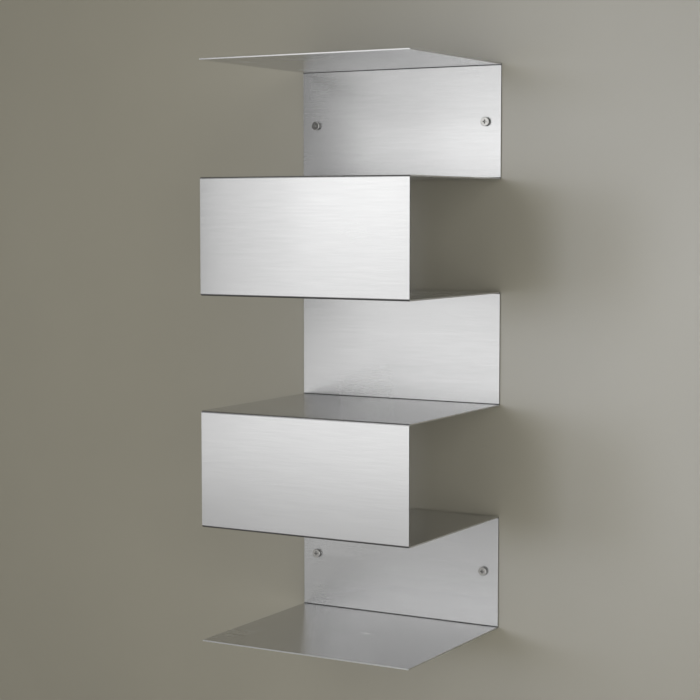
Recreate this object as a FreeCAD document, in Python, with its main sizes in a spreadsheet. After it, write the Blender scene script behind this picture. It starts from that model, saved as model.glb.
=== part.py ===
"""Wall rack: one strip of sheet metal folded into a serpentine of shelves, screwed to a wall.

Millimetres. +Z is up, +X is to the right for a person who faces the rack, and -Y points at that
person. The wall is the plane Y = 0. The origin lies on it, midway between the four wall screws.
"""
import FreeCAD, Part
import math
import os
from collections import namedtuple
from enum import IntEnum

import Sketcher
from FreeCAD import Placement, Rotation, Vector

# Driving dimensions: name, value in millimetres unless the note says otherwise, and note.
SIZES = (
    ("rack_width", 250.0, "width of the strip, side edge to side edge"),
    ("rack_depth", 212.0, "wall to the outer face of the front panels and to the free shelf edges"),
    ("shelf_pitch", 123.7, "height from the middle of one shelf's thickness to the next"),
    ("sheet_thickness", 1.5, "thickness of the strip"),
    ("bend_radius", 1.0, "inside radius of every fold"),
    ("screw_inset", 18.0, "screw axis, in from the side edge"),
    ("hole_clearance", 0.25, "hole wall to screw, all round"),
    ("screw_diameter", 5.0, "outer diameter of the screw's thread"),
    ("screw_length", 45.0, "screw under its head, tip included"),
    ("screw_tip_length", 6.0, "cone at the screw's end"),
    ("head_diameter", 10.0, "pan head"),
    ("head_height", 3.6, "pan head, seat to crown"),
    ("head_crown_radius", 0.7, "round between the head's side and its flat crown"),
    ("recess_span", 4.4, "cross recess, tip to tip of a blade"),
    ("recess_blade", 1.2, "cross recess, thickness of a blade at the crown"),
    ("recess_depth", 2.0, "cross recess"),
    ("recess_draught", 8.0, "slope of the recess walls, in degrees"),
    ("plug_diameter", 8.0, "wall plug, and so the hole drilled for it"),
    ("plug_length", 40.0, "wall plug"),
    ("plug_clearance", 0.1, "plug bore to screw, all round"),
    ("slot_width", 1.2, "each of the crossed slots that let the plug spread"),
    ("slot_length", 26.0, "slots, from the plug's inner end"),
    ("tooth_depth", 0.6, "ring teeth cut into the plug"),
    ("tooth_ramp", 3.0, "sloping side of a tooth, measured along the plug"),
    ("tooth_pitch", 4.0, "one ring tooth to the next"),
    ("tooth_count", 5.0, "number of ring teeth"),
    ("tooth_margin", 3.0, "innermost tooth to the plug's inner end"),
)

# Upright panels of the serpentine from top to bottom: each lies at the wall or at the front.
PANELS = ("back", "front", "back", "front", "back")

# Screw places: side of the rack, and top or bottom panel.
CORNERS = {
    "upper_left": (-1, 1),
    "upper_right": (1, 1),
    "lower_left": (-1, -1),
    "lower_right": (1, -1),
}

# Half the screws' spacings: they stand at mid-height of the top and bottom panels.
SCREW_ACROSS = "(sizes.rack_width / 2 - sizes.screw_inset)"
SCREW_UP = f"(sizes.shelf_pitch * {len(PANELS) - 1} / 2)"

# Screws and plugs are drawn along their own Z axis; this turn points +Z at the room.
FACING_ROOM = Rotation(Vector(1, 0, 0), 90)


class Spot(IntEnum):
    """The numbers by which a sketch knows the points of a line or an arc."""

    START = 1
    END = 2
    CENTRE = 3


class Axis(IntEnum):
    """The numbers of a sketch's own axes."""

    X = -1
    Y = -2


# A sketch's origin, as the first point of its X axis.
ORIGIN = (Axis.X, Spot.START)

# Middle line of the folded strip: corner points, the direction of each run, the direction to the
# left of each run, and each fold's turn, 1 to the left and -1 to the right.
Path = namedtuple("Path", "corners ways lefts turns")

# One side of the folded strip's section: its straight runs and the arcs between them.
Side = namedtuple("Side", "runs arcs")


def make_sheet(doc):
    """Fill the spreadsheet of driving dimensions."""
    sheet = doc.addObject("Spreadsheet::Sheet", "sizes")
    for row, (alias, value, note) in enumerate(SIZES, start=1):
        sheet.set(f"A{row}", note)
        sheet.set(f"B{row}", str(value))
        sheet.setAlias(f"B{row}", alias)
    doc.recompute()
    return sheet


def new_body(doc, label):
    body = doc.addObject("PartDesign::Body", label)
    body.Label = label
    return body


def origin_feature(body, role):
    return next(part for part in body.Origin.OriginFeatures if part.Role == role)


def new_sketch(body, name, plane):
    sketch = body.newObject("Sketcher::SketchObject", name)
    sketch.AttachmentSupport = [(origin_feature(body, plane), "")]
    sketch.MapMode = "FlatFace"
    return sketch


def relate(sketch, kind, *where):
    """Add a constraint that has no size."""
    sketch.addConstraint(Sketcher.Constraint(kind, *where))


def dimension(sketch, name, formula, kind, *where):
    """Add a dimension that follows a formula of the spreadsheet's sizes."""
    value = float(sketch.evalExpression(formula))
    index = sketch.addConstraint(Sketcher.Constraint(kind, *where, value))
    sketch.renameConstraint(index, name)
    sketch.setExpression(f"Constraints.{name}", formula)


def dimension_line(sketch, name, formula, kind, number):
    """Dimension a line from its start to its end."""
    dimension(sketch, name, formula, kind, number, Spot.START, number, Spot.END)


def set_off(sketch, name, formula, kind, point, sign):
    """Dimension a point's distance from the origin, on the positive or the negative side."""
    ends = (*ORIGIN, *point) if sign > 0 else (*point, *ORIGIN)
    dimension(sketch, name, formula, kind, *ends)


def line(sketch, start, end):
    """Draw a line, kept level or upright where it is drawn so, and return its number."""
    number = sketch.addGeometry(Part.LineSegment(start, end))
    if math.isclose(start.y, end.y):
        relate(sketch, "Horizontal", number)
    elif math.isclose(start.x, end.x):
        relate(sketch, "Vertical", number)
    return number


def circle(sketch, centre, radius):
    return sketch.addGeometry(Part.Circle(centre, Vector(0, 0, 1), radius))


def quarter_arc(sketch, centre, radius, first_spoke):
    """Draw an anticlockwise quarter circle, its start in the direction first_spoke."""
    whole = Part.Circle(centre, Vector(0, 0, 1), radius)
    angle = math.atan2(first_spoke.y, first_spoke.x)
    return sketch.addGeometry(Part.ArcOfCircle(whole, angle, angle + math.pi / 2))


def join(sketch, numbers):
    """Join lines end to start, in order."""
    for here, after in zip(numbers, numbers[1:]):
        relate(sketch, "Coincident", here, Spot.END, after, Spot.START)


def polygon(sketch, points):
    """Draw a closed outline of straight lines and return their numbers."""
    numbers = [line(sketch, a, b) for a, b in zip(points, points[1:] + points[:1])]
    join(sketch, numbers + numbers[:1])
    return numbers


def rectangle(sketch, left, right, low, high):
    """Draw a rectangle, lower edge first and then anticlockwise, and return its lines' numbers."""
    corners = [(left, low), (right, low), (right, high), (left, high)]
    return polygon(sketch, [Vector(across, up) for across, up in corners])


def set_up(body, made, formulas, settings):
    """Give a feature its settings and its formulas, and make it the body's result."""
    for setting, value in settings.items():
        setattr(made, setting, value)
    for target, formula in formulas.items():
        made.setExpression(target, formula)
    body.Tip = made
    return made


def add_feature(body, kind, sketch, formulas, **settings):
    """Add a feature made from a sketch."""
    made = body.newObject(f"PartDesign::{kind}", kind)
    made.Profile = sketch
    return set_up(body, made, formulas, settings)


def add_pattern(body, kind, original, formulas, **settings):
    """Repeat a feature in a row or about an axis."""
    made = body.newObject(f"PartDesign::{kind}", kind)
    made.Originals = [original]
    return set_up(body, made, formulas, settings)


def cross_over(body, original):
    """Repeat a feature square to itself about the body's Z axis."""
    axis = (origin_feature(body, "Z_Axis"), [""])
    return add_pattern(body, "PolarPattern", original, {}, Axis=axis, Angle=90, Occurrences=2)


def place(body, corner, depth_formula):
    """Put a screw or plug at its corner of the hole pattern, pointing at the room."""
    side, level = CORNERS[corner]
    body.Placement = Placement(Vector(), FACING_ROOM)
    body.setExpression("Placement.Base.x", f"{side} * {SCREW_ACROSS}")
    body.setExpression("Placement.Base.y", depth_formula)
    body.setExpression("Placement.Base.z", f"{level} * {SCREW_UP}")


def fold_path(sheet):
    """Middle line of the strip in the (Y, Z) plane, from the top shelf's free edge down."""
    back = -sheet.sheet_thickness / 2
    front = -sheet.rack_depth + sheet.sheet_thickness / 2
    top = sheet.shelf_pitch * len(PANELS) / 2
    corners = [Vector(-sheet.rack_depth, top)]
    for index, panel in enumerate(PANELS):
        across = back if panel == "back" else front
        corners.append(Vector(across, top - index * sheet.shelf_pitch))
        corners.append(Vector(across, top - (index + 1) * sheet.shelf_pitch))
    corners.append(Vector(-sheet.rack_depth, -top))
    ways = [(b - a).normalize() for a, b in zip(corners, corners[1:])]
    lefts = [Vector(-way.y, way.x) for way in ways]
    turns = [1 if a.cross(b).z > 0 else -1 for a, b in zip(ways, ways[1:])]
    return Path(corners, ways, lefts, turns)


def draw_side(sketch, sheet, path, hand):
    """Draw the section's left (hand 1) or right (hand -1) side: straight runs and quarter arcs."""
    offset = hand * sheet.sheet_thickness / 2
    bend = sheet.bend_radius + sheet.sheet_thickness / 2
    last = len(path.ways) - 1
    runs = []
    for index, (way, left) in enumerate(zip(path.ways, path.lefts)):
        start = path.corners[index] + way * (bend if index > 0 else 0)
        end = path.corners[index + 1] - way * (bend if index < last else 0)
        runs.append(line(sketch, start + left * offset, end + left * offset))
    arcs = []
    for index, turn in enumerate(path.turns):
        centre = path.corners[index + 1] + (path.lefts[index] * turn - path.ways[index]) * bend
        first_spoke = -path.lefts[index] if turn > 0 else path.lefts[index + 1]
        arc = quarter_arc(sketch, centre, bend - offset * turn, first_spoke)
        arrive, leave = (Spot.START, Spot.END) if turn > 0 else (Spot.END, Spot.START)
        relate(sketch, "Tangent", runs[index], Spot.END, arc, arrive)
        relate(sketch, "Tangent", arc, leave, runs[index + 1], Spot.START)
        arcs.append(arc)
    return Side(runs, arcs)


def tie_folds(sketch, path, left, right):
    """Keep both sides of every fold about one centre, with the same inside radius."""
    insides = [a if turn > 0 else b for a, b, turn in zip(left.arcs, right.arcs, path.turns)]
    for a, b in zip(left.arcs, right.arcs):
        relate(sketch, "Coincident", a, Spot.CENTRE, b, Spot.CENTRE)
    for arc in insides[1:]:
        relate(sketch, "Equal", insides[0], arc)
    dimension(sketch, "inside_radius", "sizes.bend_radius", "Radius", insides[0])


def shelf_faces(path, left, right, run):
    """Lower and upper lines of a shelf's run: which side is up depends on the way it goes."""
    lower, upper = (right, left) if path.ways[run].x > 0 else (left, right)
    return lower.runs[run], upper.runs[run]


def close_end(sketch, sheet, corner, point, lower, upper):
    """Close a free shelf edge, as far from the wall as the rack is deep, and return its line."""
    half = Vector(0, sheet.sheet_thickness / 2)
    edge = line(sketch, corner - half, corner + half)
    relate(sketch, "Coincident", edge, Spot.START, lower, point)
    relate(sketch, "Coincident", edge, Spot.END, upper, point)
    name = f"edge_depth_{edge}"
    dimension(sketch, name, "sizes.rack_depth", "DistanceX", edge, Spot.START, *ORIGIN)
    return edge


def place_panels(sketch, left, right):
    """Set the back panels against the wall and the front panels at the rack's depth."""
    for index, panel in enumerate(PANELS):
        run = 2 * index + 1
        if panel == "back":
            relate(sketch, "PointOnObject", left.runs[run], Spot.START, Axis.Y)
        else:
            dimension(sketch, f"panel_depth_{index}", "sizes.rack_depth",
                      "DistanceX", right.runs[run], Spot.START, *ORIGIN)


def place_shelves(sketch, path, left, right):
    """Space the shelves evenly about the origin's height, measured on their upper faces."""
    tops = [shelf_faces(path, left, right, run)[1] for run in range(0, len(path.ways), 2)]
    half_height = f"(sizes.shelf_pitch * {len(PANELS)} + sizes.sheet_thickness) / 2"
    dimension(sketch, "top_height", half_height, "DistanceY", *ORIGIN, tops[0], Spot.START)
    for index, (above, below) in enumerate(zip(tops, tops[1:])):
        dimension(sketch, f"gap_{index}", "sizes.shelf_pitch",
                  "DistanceY", below, Spot.START, above, Spot.START)


def make_folded_sheet(doc, sheet):
    """The strip: its section, extruded to both sides of the middle, and four screw holes."""
    body = new_body(doc, "folded_sheet")
    section = new_sketch(body, "strip_section", "YZ_Plane")
    path = fold_path(sheet)
    left = draw_side(section, sheet, path, 1)
    right = draw_side(section, sheet, path, -1)
    tie_folds(section, path, left, right)
    top_faces = shelf_faces(path, left, right, 0)
    bottom_faces = shelf_faces(path, left, right, -1)
    edge = close_end(section, sheet, path.corners[0], Spot.START, *top_faces)
    close_end(section, sheet, path.corners[-1], Spot.END, *bottom_faces)
    dimension_line(section, "thickness", "sizes.sheet_thickness", "DistanceY", edge)
    place_panels(section, left, right)
    place_shelves(section, path, left, right)
    add_feature(body, "Pad", section, {"Length": "sizes.rack_width"}, SideType="Symmetric")
    doc.recompute()

    holes = new_sketch(body, "hole_section", "XZ_Plane")
    across = sheet.rack_width / 2 - sheet.screw_inset
    up = sheet.shelf_pitch * (len(PANELS) - 1) / 2
    for corner, (side, level) in CORNERS.items():
        hole = circle(holes, Vector(side * across, level * up), sheet.screw_diameter / 2)
        diameter = "sizes.screw_diameter + 2 * sizes.hole_clearance"
        dimension(holes, f"diameter_{corner}", diameter, "Diameter", hole)
        set_off(holes, f"across_{corner}", SCREW_ACROSS, "DistanceX", (hole, Spot.CENTRE), side)
        set_off(holes, f"up_{corner}", SCREW_UP, "DistanceY", (hole, Spot.CENTRE), level)
    add_feature(body, "Pocket", holes, {"Length": "sizes.sheet_thickness"}, Reversed=True)
    return body


def make_screw(doc, sheet, corner):
    """A pan-head screw: turned outline with its seat at Z = 0, and a cross recess in the crown."""
    body = new_body(doc, f"wall_screw_{corner}")
    outline = new_sketch(body, "screw_outline", "XZ_Plane")
    head, shank = sheet.head_diameter / 2, sheet.screw_diameter / 2
    crown, round_off = sheet.head_height, sheet.head_crown_radius
    shoulder = sheet.screw_tip_length - sheet.screw_length
    axis = line(outline, Vector(0, -sheet.screw_length), Vector(0, crown))
    top = line(outline, Vector(0, crown), Vector(head - round_off, crown))
    arc = quarter_arc(outline, Vector(head - round_off, crown - round_off), round_off, Vector(1, 0))
    rim = line(outline, Vector(head, crown - round_off), Vector(head, 0))
    seat = line(outline, Vector(head, 0), Vector(shank, 0))
    side = line(outline, Vector(shank, 0), Vector(shank, shoulder))
    tip = line(outline, Vector(shank, shoulder), Vector(0, -sheet.screw_length))
    join(outline, [axis, top])
    relate(outline, "Tangent", top, Spot.END, arc, Spot.END)
    relate(outline, "Tangent", arc, Spot.START, rim, Spot.START)
    join(outline, [rim, seat, side, tip, axis])
    relate(outline, "PointOnObject", axis, Spot.START, Axis.Y)
    relate(outline, "PointOnObject", seat, Spot.END, Axis.X)
    set_off(outline, "crown", "sizes.head_height", "DistanceY", (top, Spot.END), 1)
    dimension(outline, "crown_radius", "sizes.head_crown_radius", "Radius", arc)
    set_off(outline, "head_radius", "sizes.head_diameter / 2", "DistanceX", (rim, Spot.END), 1)
    set_off(outline, "shank_radius", "sizes.screw_diameter / 2", "DistanceX", (side, Spot.START), 1)
    set_off(outline, "length", "sizes.screw_length", "DistanceY", (axis, Spot.START), -1)
    dimension(outline, "tip_length", "sizes.screw_tip_length",
              "DistanceY", tip, Spot.END, tip, Spot.START)
    add_feature(body, "Revolution", outline, {}, ReferenceAxis=(outline, ["V_Axis"]), Angle=360)
    doc.recompute()

    blade = new_sketch(body, "recess_blade", "XY_Plane")
    blade.setExpression("AttachmentOffset.Base.z", "sizes.head_height")
    reach, half = sheet.recess_span / 2, sheet.recess_blade / 2
    edges = rectangle(blade, -reach, reach, -half, half)
    relate(blade, "Symmetric", edges[0], Spot.START, edges[2], Spot.START, *ORIGIN)
    dimension_line(blade, "span", "sizes.recess_span", "DistanceX", edges[0])
    dimension_line(blade, "width", "sizes.recess_blade", "DistanceY", edges[1])
    sizes = {"Length": "sizes.recess_depth", "TaperAngle": "-sizes.recess_draught"}
    recess = add_feature(body, "Pocket", blade, sizes)
    cross_over(body, recess)
    place(body, corner, "-sizes.sheet_thickness")
    return body


def make_plug(doc, sheet, corner):
    """An expansion plug: a tube from the wall's face inwards, with ring teeth and crossed slots."""
    body = new_body(doc, f"wall_plug_{corner}")
    ring = new_sketch(body, "plug_ring", "XY_Plane")
    outer = circle(ring, Vector(), sheet.plug_diameter / 2)
    bore = circle(ring, Vector(), sheet.screw_diameter / 2)
    for edge in (outer, bore):
        relate(ring, "Coincident", edge, Spot.CENTRE, *ORIGIN)
    dimension(ring, "outer", "sizes.plug_diameter", "Diameter", outer)
    dimension(ring, "bore", "sizes.screw_diameter + 2 * sizes.plug_clearance", "Diameter", bore)
    add_feature(body, "Pad", ring, {"Length": "sizes.plug_length"}, Reversed=True)
    doc.recompute()

    tooth = new_sketch(body, "tooth_section", "XZ_Plane")
    radius = sheet.plug_diameter / 2
    root = radius - sheet.tooth_depth
    foot = sheet.tooth_margin - sheet.plug_length
    step = foot + sheet.tooth_ramp
    edges = polygon(tooth, [Vector(radius, foot), Vector(radius, step), Vector(root, step)])
    foot_point = (edges[0], Spot.START)
    set_off(tooth, "radius", "sizes.plug_diameter / 2", "DistanceX", foot_point, 1)
    set_off(tooth, "foot", "sizes.plug_length - sizes.tooth_margin", "DistanceY", foot_point, -1)
    dimension_line(tooth, "ramp", "sizes.tooth_ramp", "DistanceY", edges[0])
    dimension(tooth, "depth", "sizes.tooth_depth",
              "DistanceX", edges[1], Spot.END, edges[1], Spot.START)
    groove = add_feature(body, "Groove", tooth, {}, ReferenceAxis=(tooth, ["V_Axis"]), Angle=360)
    doc.recompute()
    counts = {"Offset": "sizes.tooth_pitch", "Occurrences": "sizes.tooth_count"}
    upward = (origin_feature(body, "Z_Axis"), [""])
    add_pattern(body, "LinearPattern", groove, counts, Direction=upward, Mode="Spacing")
    doc.recompute()

    slot = new_sketch(body, "slot_section", "XZ_Plane")
    half, end = sheet.slot_width / 2, -sheet.plug_length
    edges = rectangle(slot, -half, half, end, end + sheet.slot_length)
    corner_point = (edges[0], Spot.START)
    set_off(slot, "half_width", "sizes.slot_width / 2", "DistanceX", corner_point, -1)
    set_off(slot, "end", "sizes.plug_length", "DistanceY", corner_point, -1)
    dimension_line(slot, "width", "sizes.slot_width", "DistanceX", edges[0])
    dimension_line(slot, "length", "sizes.slot_length", "DistanceY", edges[1])
    through = {"Length": "2 * sizes.plug_diameter"}
    cut = add_feature(body, "Pocket", slot, through, SideType="Symmetric")
    cross_over(body, cut)
    place(body, corner, "0")
    return body


def check(doc, parts):
    """Stop if anything failed to build, or if a cut took nothing away."""
    failed = [thing.Label for thing in doc.Objects if {"Invalid", "Error"} & set(thing.State)]
    if failed:
        raise RuntimeError(f"failed: {failed}")
    for part in parts:
        if part.Shape.isNull() or not part.Shape.isValid() or len(part.Shape.Solids) != 1:
            raise RuntimeError(f"{part.Label} is not one valid solid")
    for cut in doc.Objects:
        if cut.TypeId in ("PartDesign::Pocket", "PartDesign::Groove"):
            if cut.Shape.Volume >= cut.BaseFeature.Shape.Volume:
                raise RuntimeError(f"{cut.Label} cuts nothing")


def main():
    doc = FreeCAD.newDocument("wall_rack")
    sheet = make_sheet(doc)
    parts = [make_folded_sheet(doc, sheet)]
    parts += [make_screw(doc, sheet, corner) for corner in CORNERS]
    parts += [make_plug(doc, sheet, corner) for corner in CORNERS]
    doc.recompute()
    check(doc, parts)
    os.makedirs("parts", exist_ok=True)
    for part in parts:
        part.Shape.exportStep(f"parts/{part.Label}.step")
        print(part.Label, f"{part.Shape.Volume:.1f} mm3")


main()
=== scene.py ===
"""Looks of a wall rack: one strip of brushed sheet steel folded into shelves, screwed to a wall.

Metres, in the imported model's frame: +Z up, -Y towards the person in front, the wall at Y = 0.
"""
from __future__ import annotations

import logging
import math
from collections.abc import Callable, Iterator
from contextlib import contextmanager
from dataclasses import dataclass, field
from enum import Enum

import bmesh
import bpy
from mathutils import Matrix, Vector

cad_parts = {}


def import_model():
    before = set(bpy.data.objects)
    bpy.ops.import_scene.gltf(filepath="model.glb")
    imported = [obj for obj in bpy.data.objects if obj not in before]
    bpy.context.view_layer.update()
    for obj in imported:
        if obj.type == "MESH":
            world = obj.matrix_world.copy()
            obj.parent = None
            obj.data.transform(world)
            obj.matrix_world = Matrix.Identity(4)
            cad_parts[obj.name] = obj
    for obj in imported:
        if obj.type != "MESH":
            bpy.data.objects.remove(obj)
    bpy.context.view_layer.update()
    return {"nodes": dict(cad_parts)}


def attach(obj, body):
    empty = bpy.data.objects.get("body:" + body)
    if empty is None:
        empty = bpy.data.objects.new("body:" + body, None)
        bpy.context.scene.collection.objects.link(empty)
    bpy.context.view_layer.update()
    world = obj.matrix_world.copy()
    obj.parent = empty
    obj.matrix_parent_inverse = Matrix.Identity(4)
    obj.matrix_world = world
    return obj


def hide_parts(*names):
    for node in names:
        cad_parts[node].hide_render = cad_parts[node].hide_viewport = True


LOG = logging.getLogger("wall_rack")
MM = 0.001
BODY = "root"

Colour = tuple[float, float, float]
Point = tuple[float, float, float]
Range = tuple[float, float]

# Edges that turn by more than this stay sharp, in degrees.
SHARP_TURN = 40.0

# The profile of a bevel that is a circle's arc.
ARC = 0.5

# A face looks along an axis when its normal has more than this share of it.
FACING = 0.5

# Weight of large faces over small ones in the normals: 50 is even, 100 the most.
FLAT_WEIGHT = 100

# Middle part of a noise's values, stretched to the whole of what it drives.
SOFT_SPAN = (0.3, 0.7)
FIRM_SPAN = (0.35, 0.65)
WHOLE = (0.0, 1.0)
NOISE_ROUGHNESS = 0.6

# Numbers of the Mix node's sockets for colours.
MIX_FACTOR, MIX_FIRST, MIX_SECOND, MIX_RESULT = 0, 6, 7, 2


class Element(Enum):
    """A kind of mesh element."""

    VERTS = "VERT"
    EDGES = "EDGE"
    FACES = "FACE"


class Joining(Enum):
    """What a tool's volume does to a piece."""

    CUT = "DIFFERENCE"
    ADD = "UNION"


class Side(Enum):
    """Where an upright panel of the strip stands."""

    BACK = "back"
    FRONT = "front"


class Corner(Enum):
    """The four fixings: the side of the rack and the upper or lower panel."""

    UPPER_LEFT = (-1, 1)
    UPPER_RIGHT = (1, 1)
    LOWER_LEFT = (-1, -1)
    LOWER_RIGHT = (1, -1)

    @property
    def label(self) -> str:
        """The corner's name as the nodes have it."""
        return self.name.lower()


def deselect() -> None:
    """Leave nothing selected."""
    bpy.ops.object.select_all(action="DESELECT")


def activate(piece: bpy.types.Object) -> None:
    """Make a piece the one selected and active object.

    Args:
        piece: The object to make active.
    """
    deselect()
    piece.select_set(True)
    bpy.context.view_layer.objects.active = piece


@contextmanager
def editing(piece: bpy.types.Object, kind: Element) -> Iterator[None]:
    """Work on a piece in edit mode.

    Args:
        piece: The mesh object to edit.
        kind: The kind of element to select.

    Yields:
        Nothing, while the piece is in edit mode.
    """
    activate(piece)
    bpy.ops.object.mode_set(mode="EDIT")
    bpy.ops.mesh.select_mode(type=kind.value)
    yield
    bpy.ops.object.mode_set(mode="OBJECT")


def pick(piece: bpy.types.Object, kind: Element, test: Callable[[object], bool]) -> None:
    """Select the elements of the mesh in edit mode that pass a test, and no others.

    Args:
        piece: The object in edit mode.
        kind: The kind of element to look at.
        test: Says of an element whether it is picked.
    """
    bpy.ops.mesh.select_all(action="DESELECT")
    mesh = bmesh.from_edit_mesh(piece.data)
    mesh.normal_update()
    pools = {Element.VERTS: mesh.verts, Element.EDGES: mesh.edges, Element.FACES: mesh.faces}
    for element in pools[kind]:
        if test(element):
            element.select_set(True)
    mesh.select_flush_mode()
    bmesh.update_edit_mesh(piece.data)


def turn_outwards() -> None:
    """Point all faces of the mesh in edit mode outwards."""
    bpy.ops.mesh.select_all(action="SELECT")
    bpy.ops.mesh.normals_make_consistent(inside=False)


def fix_place(piece: bpy.types.Object) -> None:
    """Put an object's place, turn and scale into its mesh."""
    activate(piece)
    bpy.ops.object.transform_apply(location=True, rotation=True, scale=True)


def add_modifier(piece: bpy.types.Object, kind: str, **settings: object) -> None:
    """Add a modifier with its settings and apply it.

    Args:
        piece: The object to change.
        kind: Blender's name for the modifier.
        **settings: The modifier's properties.
    """
    activate(piece)
    modifier = piece.modifiers.new(kind.lower(), kind)
    for name, value in settings.items():
        setattr(modifier, name, value)
    bpy.ops.object.modifier_apply(modifier=modifier.name)


def combine(piece: bpy.types.Object, tool: bpy.types.Object, joining: Joining) -> None:
    """Cut a tool's volume out of a piece or add it on, and delete the tool.

    Args:
        piece: The object to change.
        tool: The object that gives the volume.
        joining: Whether the volume is cut out or added on.
    """
    add_modifier(piece, "BOOLEAN", operation=joining.value, object=tool, solver="EXACT")
    bpy.data.objects.remove(tool)


def break_edges(piece: bpy.types.Object, width: float, steps: int, degrees: float) -> None:
    """Round the sharp edges of a piece.

    Args:
        piece: The object to change.
        width: The width of the round.
        steps: The number of faces across it.
        degrees: Edges that turn by more than this are rounded.
    """
    add_modifier(piece, "BEVEL", width=width, segments=steps, limit_method="ANGLE",
                 angle_limit=math.radians(degrees))


def finish_normals(piece: bpy.types.Object) -> None:
    """Shade a piece smooth, keep its sharp edges, and let its flat faces set the normals.

    Args:
        piece: The object to shade.
    """
    activate(piece)
    bpy.ops.object.shade_smooth_by_angle(angle=math.radians(SHARP_TURN))
    add_modifier(piece, "WEIGHTED_NORMAL", mode="FACE_AREA", weight=FLAT_WEIGHT, keep_sharp=True)


def coat(piece: bpy.types.Object, material: bpy.types.Material) -> None:
    """Give a piece one material in place of those it has."""
    piece.data.materials.clear()
    piece.data.materials.append(material)


def hand_over(piece: bpy.types.Object, node: str) -> None:
    """Let a finished piece stand for its CAD node.

    Args:
        piece: The finished piece, in place.
        node: The CAD node that it replaces.
    """
    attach(piece, BODY)
    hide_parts(node)
    LOG.info("%s: %d faces", piece.name, len(piece.data.polygons))


class Nodes:
    """A node tree with short ways to add nodes and to join them."""

    def __init__(self, tree: bpy.types.NodeTree) -> None:
        """Take a tree to add to."""
        self.tree = tree

    def put(self, socket: bpy.types.NodeSocket, value: object) -> None:
        """Link an output to an input, or set the input's own value.

        Args:
            socket: The input.
            value: The output to link, or the value to set.
        """
        if isinstance(value, bpy.types.NodeSocket):
            self.tree.links.new(value, socket)
        else:
            socket.default_value = value

    def add(self, kind: str, inputs: dict | None = None, **settings: object) -> bpy.types.Node:
        """Add a node.

        Args:
            kind: The node's type, without the word ShaderNode.
            inputs: Values for its inputs, or outputs to link to them, by input name or number.
            **settings: The node's properties.

        Returns:
            The node.
        """
        node = self.tree.nodes.new(f"ShaderNode{kind}")
        for name, value in settings.items():
            setattr(node, name, value)
        for key, value in (inputs or {}).items():
            self.put(node.inputs[key], value)
        return node

    def math(self, operation: str, *values: object) -> bpy.types.NodeSocket:
        """Add a Math node and return its result."""
        return self.add("Math", dict(enumerate(values)), operation=operation).outputs[0]

    def share(self, first: object, second: object, part: float) -> bpy.types.NodeSocket:
        """Add up a part of one value and the rest of another."""
        rest = self.math("MULTIPLY", second, 1.0 - part)
        return self.math("MULTIPLY_ADD", first, part, rest)

    def noise(self, vector: bpy.types.NodeSocket, scale: object, detail: float) -> bpy.types.NodeSocket:
        """Add a noise texture and return its value."""
        inputs = {"Vector": vector, "Scale": scale, "Detail": detail, "Roughness": NOISE_ROUGHNESS}
        return self.add("TexNoise", inputs).outputs["Fac"]

    def drawn(self, vector: bpy.types.NodeSocket, scale: Point, detail: float) -> bpy.types.NodeSocket:
        """Add a noise texture with a scale for each axis and return its value."""
        scaled = self.add("Mapping", {"Vector": vector, "Scale": scale}).outputs["Vector"]
        return self.noise(scaled, 1.0, detail)

    def remap(self, value: object, span: Range, to: tuple[object, object]) -> bpy.types.NodeSocket:
        """Map a range of values to another, with no values outside it.

        Args:
            value: The value to map.
            span: The lowest and highest value that count.
            to: What these become.

        Returns:
            The mapped value.
        """
        low, high = span
        to_low, to_high = to
        inputs = {"Value": value, "From Min": low, "From Max": high, "To Min": to_low, "To Max": to_high}
        return self.add("MapRange", inputs).outputs["Result"]

    def blend(self, factor: object, first: object, second: object) -> bpy.types.NodeSocket:
        """Mix two colours.

        Args:
            factor: The share of the second colour.
            first: A colour, or an output that gives one.
            second: A colour, or an output that gives one.

        Returns:
            The mixed colour.
        """
        node = self.add("Mix", {MIX_FACTOR: factor}, data_type="RGBA")
        for key, colour in ((MIX_FIRST, first), (MIX_SECOND, second)):
            plain = isinstance(colour, tuple)
            self.put(node.inputs[key], (*colour, 1.0) if plain else colour)
        return node.outputs[MIX_RESULT]


def new_material(name: str) -> tuple[bpy.types.Material, Nodes, bpy.types.Node]:
    """Start a material.

    Args:
        name: The material's name.

    Returns:
        The material, its nodes, and its output node.
    """
    material = bpy.data.materials.new(name)
    material.use_nodes = True
    material.node_tree.nodes.clear()
    nodes = Nodes(material.node_tree)
    return material, nodes, nodes.add("OutputMaterial")


def shaded(name: str, nodes: Nodes, output: bpy.types.Node, inputs: dict) -> None:
    """End a material in a shader.

    Args:
        name: The shader node's type, without the word ShaderNode.
        nodes: The material's nodes.
        output: The material's output node.
        inputs: Values for the shader's inputs, or outputs to link to them.
    """
    shader = nodes.add(name, inputs)
    nodes.put(output.inputs["Surface"], shader.outputs[0])


def new_group(name: str, scales: tuple[str, ...], outputs: tuple[str, ...]) -> tuple[Nodes, dict, dict]:
    """Start a shader node group that reads coordinates and gives plain values.

    Args:
        name: The group's name.
        scales: The names of its inputs beside the coordinates.
        outputs: The names of its outputs.

    Returns:
        The group's nodes, the values that come in, and the sockets that lead out, by name.
    """
    tree = bpy.data.node_groups.new(name, "ShaderNodeTree")
    tree.interface.new_socket("Vector", in_out="INPUT", socket_type="NodeSocketVector")
    for label in scales:
        tree.interface.new_socket(label, in_out="INPUT", socket_type="NodeSocketFloat")
    for label in outputs:
        tree.interface.new_socket(label, in_out="OUTPUT", socket_type="NodeSocketFloat")
    inlet = tree.nodes.new("NodeGroupInput").outputs
    outlet = tree.nodes.new("NodeGroupOutput").inputs
    entries = {label: inlet[label] for label in ("Vector", *scales)}
    return Nodes(tree), entries, {label: outlet[label] for label in outputs}


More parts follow.
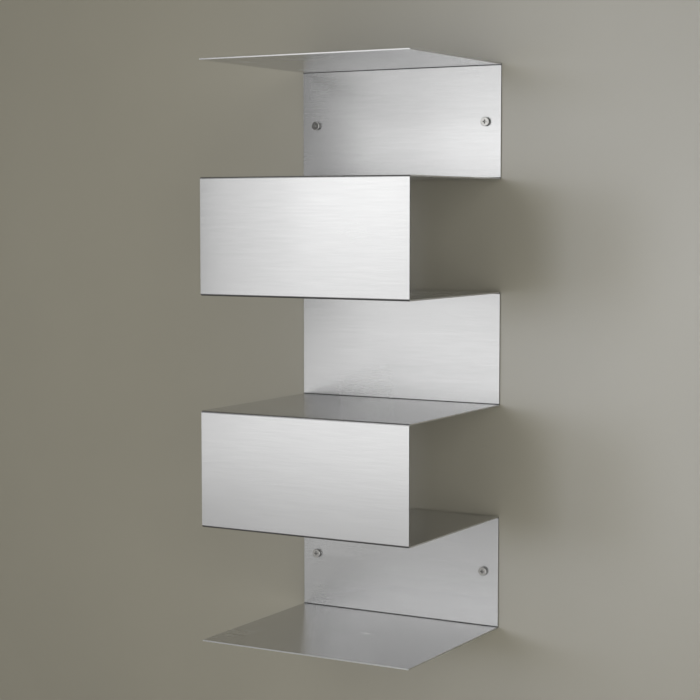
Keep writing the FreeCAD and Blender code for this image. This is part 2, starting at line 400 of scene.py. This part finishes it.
@dataclass(frozen=True)
class DrawnGrain:
    """A brushed grain: three noises drawn out along X, with their scales along X, Y and Z."""

    broad: Point = (20.0, 400.0, 400.0)
    medium: Point = (36.0, 850.0, 850.0)
    fine: Point = (24.0, 3400.0, 3400.0)
    broad_share: float = 0.5
    fine_share: float = 0.6
    soft_detail: float = 2.0
    fine_detail: float = 1.0

    def make(self) -> bpy.types.NodeTree:
        """Make the grain's node group.

        Returns:
            A group whose outputs are Streaks, broad and soft, and Scratches, fine.
        """
        nodes, entries, exits = new_group("drawn_grain", (), ("Streaks", "Scratches"))
        vector = entries["Vector"]
        broad = nodes.drawn(vector, self.broad, self.soft_detail)
        medium = nodes.drawn(vector, self.medium, self.soft_detail)
        fine = nodes.drawn(vector, self.fine, self.fine_detail)
        nodes.put(exits["Streaks"], nodes.share(broad, medium, self.broad_share))
        nodes.put(exits["Scratches"], nodes.share(fine, medium, self.fine_share))
        return nodes.tree


@dataclass(frozen=True)
class Mottle:
    """Soft patches and fine pits, as on turned metal, moulded plastic and paint."""

    patch_detail: float = 3.0
    pit_detail: float = 2.0

    def make(self) -> bpy.types.NodeTree:
        """Make the mottle's node group.

        Returns:
            A group whose outputs are Patches, soft, and Pits, fine, both about a half.
        """
        nodes, entries, exits = new_group("mottle", ("Patch Scale", "Pit Scale"), ("Patches", "Pits"))
        patches = nodes.noise(entries["Vector"], entries["Patch Scale"], self.patch_detail)
        pits = nodes.noise(entries["Vector"], entries["Pit Scale"], self.pit_detail)
        nodes.put(exits["Patches"], patches)
        nodes.put(exits["Pits"], pits)
        return nodes.tree


@dataclass(frozen=True)
class BrushedSteel:
    """Sheet steel brushed along X: grain, faint handling marks, painted shade in dark lines along the
    folds, and rougher cut edges, darkened by painted shade along the panels' rims.
    """

    light: Colour = (0.751, 0.752, 0.755)
    dark: Colour = (0.713, 0.714, 0.717)
    # The cut sides' colour: partly their own duller tone, partly painted shade in dark lines along the
    # panels' rims.
    cut: Colour = (0.22, 0.22, 0.22)
    # Painted shade: the colour of the dark lines along the folds.
    fold_shade: Colour = (0.14, 0.14, 0.14)
    roughness: Range = (0.266, 0.270)
    anisotropy: float = 0.75
    cut_roughness: float = 0.35
    streak_span: Range = (0.36, 0.64)
    handled_scale: float = 7.0
    handled_detail: float = 2.0
    handled: Range = (-0.006, 0.006)

    def make(self, grain: bpy.types.NodeTree, masks: tuple[str, str], along: str) -> bpy.types.Material:
        """Make the material.

        Args:
            grain: The grain's node group.
            masks: The mesh attributes for the cut sides, 1 on the panels' rims with their painted shade
                and a little on the shelves' rims, and for the folds' painted shade, most at a fold's
                middle.
            along: The UV map whose U runs along the strip, square to the grain.

        Returns:
            The material.
        """
        material, nodes, output = new_material("brushed_sheet_steel")
        place = nodes.add("TexCoord").outputs["Object"]
        drawn = nodes.add("Group", {"Vector": place}, node_tree=grain).outputs
        cut, fold = (nodes.add("Attribute", attribute_name=mask).outputs["Fac"] for mask in masks)
        streaked = nodes.remap(drawn["Streaks"], self.streak_span, WHOLE)
        face = nodes.blend(streaked, self.dark, self.light)
        # Painted shade: dark lines along the folds.
        face = nodes.blend(fold, face, self.fold_shade)
        scratched = nodes.remap(drawn["Scratches"], SOFT_SPAN, self.roughness)
        marks = nodes.noise(place, self.handled_scale, self.handled_detail)
        rough = nodes.math("ADD", scratched, nodes.remap(marks, FIRM_SPAN, self.handled))
        tangent = nodes.add("Tangent", direction_type="UV_MAP", uv_map=along).outputs["Tangent"]
        # The cut sides take the cut colour: partly their own duller tone, partly painted shade along the
        # panels' rims.
        shaded("BsdfPrincipled", nodes, output, {
            "Base Color": nodes.blend(cut, face, self.cut),
            "Metallic": 1.0,
            "Roughness": nodes.remap(cut, WHOLE, (rough, self.cut_roughness)),
            "Anisotropic": self.anisotropy,
            "Tangent": tangent,
        })
        return material


@dataclass(frozen=True)
class PittedFinish:
    """A finish in two mottled tones, with fine pits in its roughness and its relief."""

    light: Colour
    dark: Colour
    roughness: Range
    patch_scale: float
    pit_scale: float
    relief: float
    relief_depth: float

    def surface(self, nodes: Nodes, mottle: bpy.types.NodeTree) -> dict[str, bpy.types.NodeSocket]:
        """Add the finish's nodes to a material.

        Args:
            nodes: The material's nodes.
            mottle: The mottle's node group.

        Returns:
            The shader's colour, roughness and normal, by input name.
        """
        place = nodes.add("TexCoord").outputs["Object"]
        scales = {"Vector": place, "Patch Scale": self.patch_scale, "Pit Scale": self.pit_scale}
        mottled = nodes.add("Group", scales, node_tree=mottle).outputs
        patches = nodes.remap(mottled["Patches"], FIRM_SPAN, WHOLE)
        bump = {"Strength": self.relief, "Distance": self.relief_depth, "Height": mottled["Pits"]}
        return {
            "Base Color": nodes.blend(patches, self.dark, self.light),
            "Roughness": nodes.remap(mottled["Pits"], SOFT_SPAN, self.roughness),
            "Normal": nodes.add("Bump", bump).outputs["Normal"],
        }


@dataclass(frozen=True)
class TurnedSteel(PittedFinish):
    """Screw steel: satin, a little mottled, with a painted shade on the head's side and in its recess.
    """

    light: Colour = (0.68, 0.67, 0.65)
    dark: Colour = (0.60, 0.59, 0.57)
    roughness: Range = (0.09, 0.13)
    patch_scale: float = 900.0
    pit_scale: float = 4200.0
    relief: float = 0.1
    relief_depth: float = 0.02 * MM
    # Painted shade: the colour of the head's side and its recess.
    flank_shade: Colour = (0.16, 0.16, 0.155)

    def make(self, mottle: bpy.types.NodeTree, mask: str) -> bpy.types.Material:
        """Make the material.

        Args:
            mottle: The mottle's node group.
            mask: The mesh attribute that is 1 on the head's side and in its recess, where shade is
                painted.

        Returns:
            The material.
        """
        material, nodes, output = new_material("turned_screw_steel")
        inputs = self.surface(nodes, mottle)
        flank_shade = nodes.add("Attribute", attribute_name=mask).outputs["Fac"]
        # Painted shade: the head's side and recess darker.
        inputs["Base Color"] = nodes.blend(flank_shade, inputs["Base Color"], self.flank_shade)
        shaded("BsdfPrincipled", nodes, output, inputs | {"Metallic": 1.0})
        return material


@dataclass(frozen=True)
class MouldedPlastic(PittedFinish):
    """Wall plug nylon: matt, a little mottled, with a fine moulded texture."""

    light: Colour = (0.58, 0.59, 0.60)
    dark: Colour = (0.52, 0.53, 0.54)
    roughness: Range = (0.42, 0.58)
    patch_scale: float = 260.0
    pit_scale: float = 5200.0
    relief: float = 0.25
    relief_depth: float = 0.05 * MM

    def make(self, mottle: bpy.types.NodeTree) -> bpy.types.Material:
        """Make the material.

        Args:
            mottle: The mottle's node group.

        Returns:
            The material.
        """
        material, nodes, output = new_material("moulded_plug_nylon")
        shaded("BsdfPrincipled", nodes, output, self.surface(nodes, mottle))
        return material


@dataclass
class FoldedSheet:
    """The strip: six shelves and five upright panels in one folded piece."""

    width: float = 250.0 * MM
    depth: float = 212.0 * MM
    pitch: float = 123.7 * MM
    thickness: float = 1.5 * MM
    bend: float = 1.0 * MM
    bend_steps: int = 8
    hole_radius: float = 2.75 * MM
    hole_sides: int = 72
    screw_across: float = 107.0 * MM
    screw_up: float = 247.4 * MM
    burr: float = 0.18 * MM
    burr_steps: int = 3
    burr_turn: float = 60.0
    # Share of the rims' painted shade on the shelves' side rims; the panels' rims get all of it.
    shelf_rim: float = 0.1
    free_pitches: float = 2.2
    # How far the folds' painted shade reaches across a fold, and its share on the lit folds that face up
    # at the front.
    fold_reach: float = 1.8
    lit_fold: float = 0.42
    panels: tuple[Side, ...] = (Side.BACK, Side.FRONT, Side.BACK, Side.FRONT, Side.BACK)
    masks: tuple[str, str] = ("cut_edge_and_shade", "fold")
    along: str = "along_strip"
    piece: bpy.types.Object = field(init=False)

    @property
    def path(self) -> list[Vector]:
        """The strip's middle line from the top shelf's free edge to the bottom shelf's.

        Returns:
            The line's corners.
        """
        back = -self.thickness / 2
        front = -self.depth + self.thickness / 2
        top = self.pitch * len(self.panels) / 2
        points = [Vector((0.0, -self.depth, top))]
        for index, panel in enumerate(self.panels):
            across = back if panel is Side.BACK else front
            points.append(Vector((0.0, across, top - index * self.pitch)))
            points.append(Vector((0.0, across, top - (index + 1) * self.pitch)))
        points.append(Vector((0.0, -self.depth, -top)))
        return points

    def build(self) -> None:
        """Lay the top shelf, fold the rest on, and give the strip its thickness, holes and edges."""
        self._lay_top_shelf()
        self._fold_on()
        self._round_folds()
        add_modifier(self.piece, "SOLIDIFY", thickness=self.thickness, offset=0.0, use_even_offset=True)
        with editing(self.piece, Element.FACES):
            turn_outwards()
        for corner in Corner:
            self._drill(corner)
        break_edges(self.piece, self.burr, self.burr_steps, self.burr_turn)
        finish_normals(self.piece)
        self._mark_faces()
        self._map_strip()

    def _lay_top_shelf(self) -> None:
        """Add the plane of the top shelf."""
        free, fold = self.path[:2]
        deselect()
        bpy.ops.mesh.primitive_plane_add(size=1.0, location=(free + fold) / 2)
        self.piece = bpy.context.active_object
        self.piece.name = "brushed_folded_sheet"
        self.piece.scale = (self.width, (fold - free).length, 1.0)
        fix_place(self.piece)

    def _fold_on(self) -> None:
        """Extrude the rear edge of the top shelf along the rest of the path."""
        rear = self.path[1].y - MM
        with editing(self.piece, Element.EDGES):
            pick(self.piece, Element.EDGES, lambda edge: all(v.co.y > rear for v in edge.verts))
            for here, after in zip(self.path[1:], self.path[2:]):
                bpy.ops.mesh.extrude_region_move(TRANSFORM_OT_translate={"value": after - here})

    def _round_folds(self) -> None:
        """Bevel the folds to the bend's radius at the strip's middle."""
        radius = self.bend + self.thickness / 2
        with editing(self.piece, Element.EDGES):
            pick(self.piece, Element.EDGES, lambda edge: len(edge.link_faces) == 2)
            bpy.ops.mesh.bevel(offset=radius, segments=self.bend_steps, profile=ARC, affect="EDGES")

    def _drill(self, corner: Corner) -> None:
        """Cut one screw hole.

        Args:
            corner: The hole's corner of the rack.
        """
        side, level = corner.value
        place = (side * self.screw_across, -self.thickness / 2, level * self.screw_up)
        deselect()
        bpy.ops.mesh.primitive_cylinder_add(
            vertices=self.hole_sides, radius=self.hole_radius, depth=4 * self.thickness,
            location=place, rotation=(math.pi / 2, 0.0, 0.0))
        cutter = bpy.context.active_object
        fix_place(cutter)
        combine(self.piece, cutter, Joining.CUT)

    def _mark_faces(self) -> None:
        """Mark the strip's two sides, which are left as cut and get painted shade along the panels'
        rims, and the folds' painted shade.
        """
        mesh = self.piece.data
        cut, fold = (mesh.attributes.new(mask, "FLOAT", "FACE") for mask in self.masks)
        front = self.bend - self.depth
        back = -2.0 * self.bend
        outermost = self.pitch * self.free_pitches
        for face in mesh.polygons:
            across, along, up = face.normal
            at_front = face.center.y < front
            free = at_front and abs(face.center.z) > outermost and along < -FACING
            # Painted shade: the panels' rims darkest, the shelves' rims a little.
            rim = self.shelf_rim if front < face.center.y < back else 1.0
            cut.data[face.index].value = rim if abs(across) > FACING else 0.0
            # Painted shade on the folds, lighter on the lit folds that face up at the front, and none on
            # the free edges.
            lit = face.center.y < -self.depth / 2 and up > 0.0
            most = self.lit_fold if lit else 1.0
            # Twice the product is 1 at a fold's middle, and 0 on level and upright faces.
            bent = min(self.fold_reach * abs(2.0 * along * up), 1.0)
            fold.data[face.index].value = 0.0 if free else most * bent

    def _map_strip(self) -> None:
        """Unroll the strip: U along its length, V across it, the underside apart from the top."""
        mesh = self.piece.data
        layer = mesh.uv_layers.new(name=self.along)
        path = self.path
        starts = [0.0]
        for here, after in zip(path, path[1:]):
            starts.append(starts[-1] + (after - here).length)
        whole = starts[-1]
        for loop in mesh.loops:
            place = mesh.vertices[loop.vertex_index].co
            along, off = self._unroll(place, path, starts)
            layer.data[loop.index].uv = ((along + off) / whole, 0.5 + (place.x + off) / whole)

    @staticmethod
    def _unroll(place: Vector, path: list[Vector], starts: list[float]) -> tuple[float, float]:
        """Find a point's place along the strip.

        Args:
            place: The point.
            path: The strip's middle line.
            starts: The length of the path before each of its points.

        Returns:
            The length along the strip, and the distance from its middle, signed by the side.
        """
        best = None
        for start, here, after in zip(starts, path, path[1:]):
            way = (after - here).normalized()
            flat = Vector((0.0, place.y, place.z)) - here
            run = min(max(flat.dot(way), 0.0), (after - here).length)
            off = flat - way * run
            if best is None or off.length < best[0]:
                side = way.cross(off).x
                best = (off.length, start + run, math.copysign(off.length, side))
        return best[1], best[2]

    def dress(self, finish: BrushedSteel, grain: bpy.types.NodeTree) -> None:
        """Give the strip its finish and hand it over."""
        coat(self.piece, finish.make(grain, self.masks, self.along))
        hand_over(self.piece, "folded_sheet")


@dataclass
class WallScrew:
    """A pan-head screw with a cross recess and a wood thread, modelled once and copied.

    Its places across and up and its seat are those of the strip's holes and panels.
    """

    across: float
    up: float
    seat: float
    head_radius: float = 5.0 * MM
    head_height: float = 3.6 * MM
    head_sides: int = 64
    crown: float = 0.7 * MM
    crown_steps: int = 8
    thread_radius: float = 2.5 * MM
    core_radius: float = 1.75 * MM
    thread_pitch: float = 2.5 * MM
    thread_start: float = 0.45
    thread_crest: float = 0.72
    thread_steps: int = 24
    length: float = 45.0 * MM
    tip: float = 6.0 * MM
    rooted: float = 0.2 * MM
    weld: float = 0.001 * MM
    trim: float = 0.0001 * MM
    recess_span: float = 4.4 * MM
    recess_blade: float = 1.2 * MM
    recess_depth: float = 2.0 * MM
    recess_draught: float = math.radians(8.0)
    recess_edge: float = 0.12 * MM
    recess_edge_steps: int = 2
    recess_edge_turn: float = 50.0
    upright: float = 0.3
    mask: str = "flank_shade"
    pieces: list[bpy.types.Object] = field(init=False, default_factory=list)

    def build(self) -> None:
        """Model the screw upright about the Z axis, then copy it to the four corners."""
        screw = self._turn_head()
        for quarter in range(2):
            combine(screw, self._blade(quarter * math.pi / 2), Joining.CUT)
        break_edges(screw, self.recess_edge, self.recess_edge_steps, self.recess_edge_turn)
        combine(screw, self._roll_thread(), Joining.ADD)
        finish_normals(screw)
        self._mark_flank_shade(screw)
        for corner in Corner:
            self._copy(screw, corner)
        bpy.data.objects.remove(screw)

    def _copy(self, screw: bpy.types.Object, corner: Corner) -> None:
        """Put a copy of the screw at its corner, with its head towards the room.

        Args:
            screw: The screw as modelled.
            corner: The copy's corner of the rack.
        """
        side, level = corner.value
        copy = screw.copy()
        copy.data = screw.data.copy()
        copy.name = f"pan_head_screw_{corner.label}"
        bpy.context.scene.collection.objects.link(copy)
        place = Vector((side * self.across, self.seat, level * self.up))
        copy.data.transform(Matrix.Translation(place) @ Matrix.Rotation(math.pi / 2, 4, "X"))
        self.pieces.append(copy)

    def _turn_head(self) -> bpy.types.Object:
        """Extrude the head from its seat and round its crown.

        Returns:
            The head.
        """
        deselect()
        bpy.ops.mesh.primitive_circle_add(
            vertices=self.head_sides, radius=self.head_radius, fill_type="NGON")
        head = bpy.context.active_object
        rise = {"value": (0.0, 0.0, self.head_height)}
        with editing(head, Element.FACES):
            bpy.ops.mesh.select_all(action="SELECT")
            bpy.ops.mesh.extrude_region_move(TRANSFORM_OT_translate=rise)
            turn_outwards()
        middle = self.head_height / 2
        with editing(head, Element.EDGES):
            pick(head, Element.EDGES, lambda edge: all(v.co.z > middle for v in edge.verts))
            bpy.ops.mesh.bevel(
                offset=self.crown, segments=self.crown_steps, profile=ARC, affect="EDGES")
        return head

    def _blade(self, turn: float) -> bpy.types.Object:
        """Make one tapered blade of the cross recess's cutter.

        Args:
            turn: The blade's turn about the screw's axis, in radians.

        Returns:
            The blade.
        """
        bottom = self.head_height - self.recess_depth
        middle = self.head_height - self.recess_depth / 2
        deselect()
        bpy.ops.mesh.primitive_cube_add(size=1.0, location=(0.0, 0.0, middle))
        blade = bpy.context.active_object
        blade.scale = (self.recess_span, self.recess_blade, self.recess_depth)
        fix_place(blade)
        narrower = 2 * self.recess_depth * math.tan(self.recess_draught)
        taper = (1 - narrower / self.recess_span, 1 - narrower / self.recess_blade, 1.0)
        clear = {"value": (0.0, 0.0, self.crown)}
        with editing(blade, Element.FACES):
            pick(blade, Element.FACES, lambda face: face.normal.z < -FACING)
            bpy.ops.transform.resize(value=taper, center_override=(0.0, 0.0, bottom))
            pick(blade, Element.FACES, lambda face: face.normal.z > FACING)
            bpy.ops.mesh.extrude_region_move(TRANSFORM_OT_translate=clear)
        blade.rotation_euler = (0.0, 0.0, turn)
        fix_place(blade)
        return blade

    def _roll_thread(self) -> bpy.types.Object:
        """Sweep the thread's section below the seat, point its end and close its top.

        Returns:
            The shank, which reaches a little into the head.
        """
        shank = self._draw_section()
        add_modifier(shank, "SCREW", axis="Z", steps=self.thread_steps, render_steps=self.thread_steps,
                     iterations=round(self.length / self.thread_pitch) + 1,
                     screw_offset=self.thread_pitch, use_merge_vertices=True)
        for vertex in shank.data.vertices:
            shrink = min(max((vertex.co.z + self.length) / self.tip, 0.0), 1.0)
            vertex.co.x *= shrink
            vertex.co.y *= shrink
            vertex.co.z = max(vertex.co.z, -self.length)
        with editing(shank, Element.VERTS):
            bpy.ops.mesh.select_all(action="SELECT")
            bpy.ops.mesh.remove_doubles(threshold=self.weld)
            bpy.ops.mesh.select_all(action="SELECT")
            bpy.ops.mesh.bisect(plane_co=(0.0, 0.0, self.rooted), plane_no=(0.0, 0.0, 1.0),
                                clear_outer=True, use_fill=True, threshold=self.trim)
            turn_outwards()
        return shank

    def _draw_section(self) -> bpy.types.Object:
        """Draw one turn's section of the thread, from the core to the crest and back.

        Returns:
            An object of the section's edges.
        """
        deselect()
        bpy.ops.mesh.primitive_plane_add(size=1.0)
        outline = bpy.context.active_object
        core, crest = self.core_radius, self.thread_radius
        points = ((core, 0.0), (core, self.thread_start), (crest, self.thread_crest), (core, 1.0))
        low = -self.length - self.thread_pitch
        with editing(outline, Element.VERTS):
            bpy.ops.mesh.delete(type="VERT")
            mesh = bmesh.from_edit_mesh(outline.data)
            verts = [mesh.verts.new((r, 0.0, low + s * self.thread_pitch)) for r, s in points]
            for here, after in zip(verts, verts[1:]):
                mesh.edges.new((here, after))
            bmesh.update_edit_mesh(outline.data)
        return outline

    def _mark_flank_shade(self, screw: bpy.types.Object) -> None:
        """Mark the head's side and its recess, which get a painted shade, darker than the crown.

        Args:
            screw: The screw as modelled.
        """
        mesh = screw.data
        flank_shade = mesh.attributes.new(self.mask, "FLOAT", "FACE")
        for face in mesh.polygons:
            steep = abs(face.normal.z) < self.upright
            flank_shade.data[face.index].value = 1.0 if face.center.z > 0.0 and steep else 0.0

    def dress(self, finish: TurnedSteel, mottle: bpy.types.NodeTree) -> None:
        """Give the screws their finish and hand them over.

        Args:
            finish: The screws' finish.
            mottle: The mottle's node group.
        """
        material = finish.make(mottle, self.mask)
        for piece, corner in zip(self.pieces, Corner):
            coat(piece, material)
            hand_over(piece, f"wall_screw_{corner.label}")


@dataclass
class WallPlugs:
    """The four plugs, whose CAD shapes stay."""

    nodes: dict[str, bpy.types.Object]

    def dress(self, finish: MouldedPlastic, mottle: bpy.types.NodeTree) -> None:
        """Give the plugs their finish.

        Args:
            finish: The plugs' finish.
            mottle: The mottle's node group.
        """
        material = finish.make(mottle)
        for corner in Corner:
            node = self.nodes[f"wall_plug_{corner.label}"]
            coat(node, material)
            LOG.info("%s: CAD shape, new finish", node.name)


@dataclass(frozen=True)
class Lamp:
    """A soft box: its place, what it faces, its size, radiance, spread in degrees and tint."""

    name: str
    place: Point
    target: Point
    size: tuple[float, float]
    radiance: float
    spread: float = 180.0
    tint: Colour = (1.0, 1.0, 1.0)

    def hang(self) -> bpy.types.Object:
        """Add the lamp, unseen by the camera itself.

        Returns:
            The lamp.
        """
        place, target = Vector(self.place), Vector(self.target)
        deselect()
        bpy.ops.object.light_add(type="AREA", location=place)
        lamp = bpy.context.active_object
        lamp.name = self.name
        lamp.rotation_euler = (target - place).to_track_quat("-Z", "Y").to_euler()
        lamp.data.shape = "RECTANGLE"
        lamp.data.size, lamp.data.size_y = self.size
        lamp.data.energy = self.radiance * math.pi * self.size[0] * self.size[1]
        lamp.data.spread = math.radians(self.spread)
        lamp.data.color = self.tint
        lamp.visible_camera = False
        return lamp


@dataclass
class Studio:
    """Camera, lamps, and the plain wall and floor, whose paint has the mottle's patches."""

    mottle: bpy.types.NodeTree
    yaw: float = math.radians(29.786)
    pitch: float = math.radians(4.4165)
    lens: float = 92.737
    sensor: float = 36.0
    eye: Point = (0.95947, -1.78834, 0.15080)
    wall_colour: Colour = (0.437, 0.413, 0.334)
    wall_size: tuple[float, float] = (6.0, 4.4)
    wall_centre: float = 1.0
    wall_gap: float = 0.2 * MM
    see_through: float = 0.8 * MM
    floor_colour: Colour = (0.79, 0.785, 0.775)
    floor_size: tuple[float, float] = (8.0, 9.0)
    floor_place: Point = (0.0, -2.0, -1.2)
    floor_glow: float = 0.22
    paint_scale: float = 5.0
    paint_shade: float = 0.97
    ambient: Colour = (0.115, 0.115, 0.1127)
    lamps: tuple[Lamp, ...] = (
        Lamp("key_upper_left", (-0.33, -0.6, 0.35), (-0.33, 0.0, 0.35), (0.16, 0.50), 0.58),
        Lamp("key_upper_right", (-0.15, -0.6, 0.35), (-0.15, 0.0, 0.35), (0.20, 0.50), 0.88),
        Lamp("key_middle", (-0.225, -0.6, 0.035), (-0.225, 0.0, 0.035), (0.35, 0.13), 0.36),
        Lamp("key_low", (-0.30, -0.6, -0.115), (-0.30, 0.0, -0.115), (0.50, 0.17), 0.75),
        Lamp("fill_front", (0.125, -0.6, -0.225), (0.125, 0.0, -0.225), (0.35, 1.35), 0.52),
        Lamp("far_high", (-1.1, -2.5, 1.25), (-1.1, 0.0, 1.25), (1.0, 0.70), 1.13),
        Lamp("far_low", (-1.1, -2.5, -0.025), (-1.1, 0.0, -0.025), (1.0, 0.55), 0.76),
        Lamp("fill_low", (-0.30, -0.6, -0.55), (-0.30, 0.0, -0.55), (0.50, 0.70), 0.13),
        Lamp("fill_right", (1.6, -1.65, 0.3), (0.0, -1.65, 0.3), (3.0, 2.9), 1.05),
        Lamp("fill_left", (-1.6, -0.65, 0.2), (0.0, -0.65, 0.2), (1.1, 1.6), 0.45),
        Lamp("rear", (0.0, 2.2, 0.8), (0.0, 0.0, 0.0), (1.6, 1.6), 1.2),
    )
    wall_tint: Colour = (0.92, 1.0, 1.35)
    wall_target: Point = (0.38, 0.0, 0.10)
    wall_lamps: tuple[tuple[str, Point], ...] = (
        ("wall_near", (-0.28, -1.91, 0.25)),
        ("wall_far", (-0.90, -1.60, 0.25)),
    )
    wall_lamp_size: tuple[float, float] = (0.5, 0.9)
    wall_lamp_radiance: float = 0.29
    wall_lamp_spread: float = 30.0

    def build(self) -> None:
        """Set up the camera, the lamps, the world, the wall and the floor."""
        self._place_camera()
        for lamp in self.lamps:
            lamp.hang()
        self._light_world()
        wall = self._raise_wall()
        self._light_wall(wall)
        self._lay_floor()
        bpy.context.scene.view_settings.view_transform = "Standard"

    def _place_camera(self) -> None:
        """Put the camera where the photograph was taken from."""
        deselect()
        tilt = (math.pi / 2 - self.pitch, 0.0, self.yaw)
        bpy.ops.object.camera_add(location=self.eye, rotation=tilt)
        camera = bpy.context.active_object
        camera.data.sensor_width = self.sensor
        camera.data.lens = self.lens
        bpy.context.scene.camera = camera

    def _light_world(self) -> None:
        """Make an even grey surrounding."""
        world = bpy.data.worlds.new("studio")
        world.use_nodes = True
        world.node_tree.nodes.clear()
        nodes = Nodes(world.node_tree)
        light = nodes.add("Background", {"Color": (*self.ambient, 1.0), "Strength": 1.0})
        nodes.add("OutputWorld", {"Surface": light.outputs[0]})
        bpy.context.scene.world = world

    @staticmethod
    def _panel(name: str, size: tuple[float, float], place: Point, turn: Point) -> bpy.types.Object:
        """Add one flat panel of the stage.

        Args:
            name: The panel's name.
            size: Its width and length.
            place: Its middle.
            turn: Its turn about X, Y and Z, in radians.

        Returns:
            The panel.
        """
        deselect()
        bpy.ops.mesh.primitive_plane_add(size=1.0, location=place, rotation=turn)
        panel = bpy.context.active_object
        panel.name = name
        panel.scale = (*size, 1.0)
        fix_place(panel)
        return panel

    def _paint(self, panel: bpy.types.Object, colour: Colour, glow: float = 0.0) -> None:
        """Paint a panel of the stage plainly; it is clear from behind and where it touches.

        Args:
            panel: The panel.
            colour: The paint's colour.
            glow: Light of that colour which the camera and reflections see on top of the paint.
        """
        material, nodes, output = new_material(f"{panel.name}_paint")
        place = nodes.add("TexCoord").outputs["Object"]
        scales = {"Vector": place, "Patch Scale": self.paint_scale}
        patches = nodes.add("Group", scales, node_tree=self.mottle).outputs["Patches"]
        mottled = nodes.remap(patches, SOFT_SPAN, WHOLE)
        shade = tuple(self.paint_shade * value for value in colour)
        paint = nodes.add("BsdfDiffuse", {"Color": nodes.blend(mottled, shade, colour)})
        clear = nodes.add("BsdfTransparent")
        behind = nodes.add("NewGeometry").outputs["Backfacing"]
        ray = nodes.add("LightPath").outputs
        near = nodes.math("LESS_THAN", ray["Ray Length"], self.see_through)
        hidden = nodes.math("MAXIMUM", behind, near)
        mirrored = nodes.math("MAXIMUM", ray["Is Glossy Ray"], ray["Is Transmission Ray"])
        seen = nodes.math("MAXIMUM", ray["Is Camera Ray"], mirrored)
        strength = nodes.math("MULTIPLY", seen, glow)
        pale = nodes.add("Emission", {"Color": (*colour, 1.0), "Strength": strength})
        solid = nodes.add("AddShader", {0: paint.outputs[0], 1: pale.outputs[0]})
        shaded("MixShader", nodes, output, {0: hidden, 1: solid.outputs[0], 2: clear.outputs[0]})
        panel.data.materials.append(material)

    def _raise_wall(self) -> bpy.types.Object:
        """Stand the wall just behind the rack.

        Returns:
            The wall.
        """
        place = (0.0, self.wall_gap, self.wall_centre)
        wall = self._panel("backdrop", self.wall_size, place, (math.pi / 2, 0.0, 0.0))
        self._paint(wall, self.wall_colour)
        return wall

    def _light_wall(self, wall: bpy.types.Object) -> None:
        """Hang the lamps that light the wall alone, so that the rack's shadow falls on it.

        Args:
            wall: The wall.
        """
        lit = bpy.data.collections.new("wall_alone")
        lit.objects.link(wall)
        for name, place in self.wall_lamps:
            lamp = Lamp(name, place, self.wall_target, self.wall_lamp_size, self.wall_lamp_radiance,
                        self.wall_lamp_spread, self.wall_tint)
            lamp.hang().light_linking.receiver_collection = lit

    def _lay_floor(self) -> None:
        """Lay the floor well below the rack."""
        floor = self._panel("floor", self.floor_size, self.floor_place, (0.0, 0.0, 0.0))
        self._paint(floor, self.floor_colour, self.floor_glow)


def main() -> None:
    """Load the frame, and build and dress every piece."""
    logging.basicConfig(level=logging.INFO, format="%(name)s: %(message)s")
    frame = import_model()
    mottle = Mottle().make()
    Studio(mottle).build()
    sheet = FoldedSheet()
    sheet.build()
    sheet.dress(BrushedSteel(), DrawnGrain().make())
    screws = WallScrew(sheet.screw_across, sheet.screw_up, -sheet.thickness)
    screws.build()
    screws.dress(TurnedSteel(), mottle)
    WallPlugs(frame["nodes"]).dress(MouldedPlastic(), mottle)


if __name__ == "__main__":
    main()
